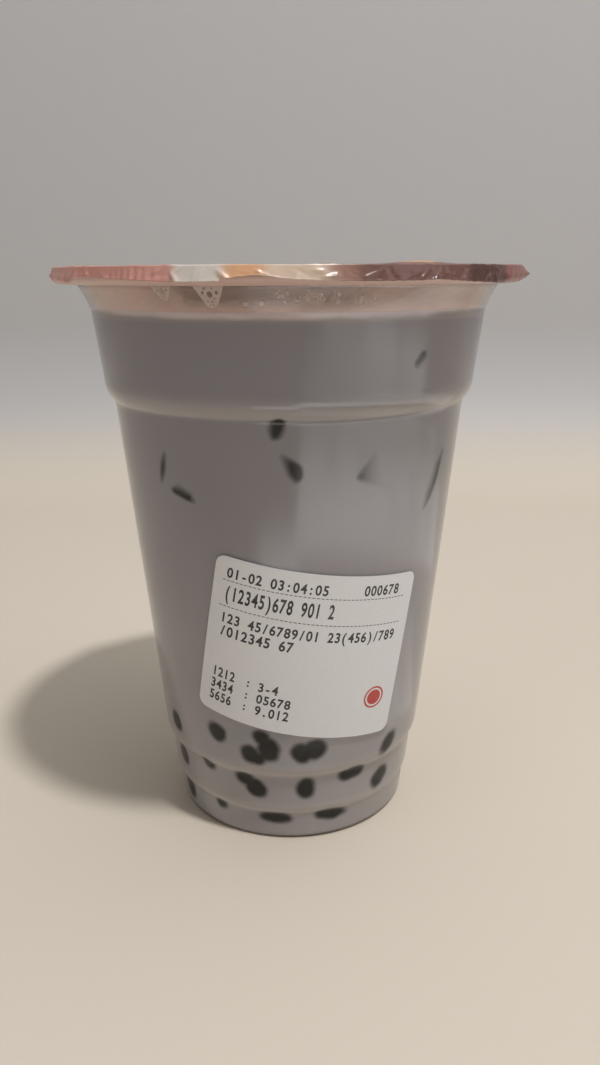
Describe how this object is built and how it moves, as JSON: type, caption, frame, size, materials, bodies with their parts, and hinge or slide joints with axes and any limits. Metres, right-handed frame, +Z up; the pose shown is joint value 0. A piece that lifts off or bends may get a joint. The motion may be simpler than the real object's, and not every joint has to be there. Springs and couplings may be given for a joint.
{
  "type": "taro bubble tea",
  "caption": "Taro milk tea in a tapering clear plastic cup with stepped foot, shoulder and rolled rim, sealed by a crimped printed film, with a paper label on the wall.",
  "frame": {"origin": "centre of the foot, on the surface the cup stands on", "axes": "+Z up along the cup's axis, -Y towards the label"},
  "size_m": [0.0982, 0.0982, 0.1214],
  "materials": {
    "clear_plastic": "clear polypropylene with a slight haze",
    "milk_tea": "opaque grey-mauve milk tea",
    "froth": "fine pale bubbles",
    "film": "glossy heat-sealed film with fields of coral, cream, orange and mauve",
    "label_paper": "white thermal paper"
  },
  "bodies": {
    "root": {"cup": "clear_plastic", "drink": "milk_tea", "froth": "froth", "sealing_film": "film", "label": "label_paper"}
  },
  "joints": []
}
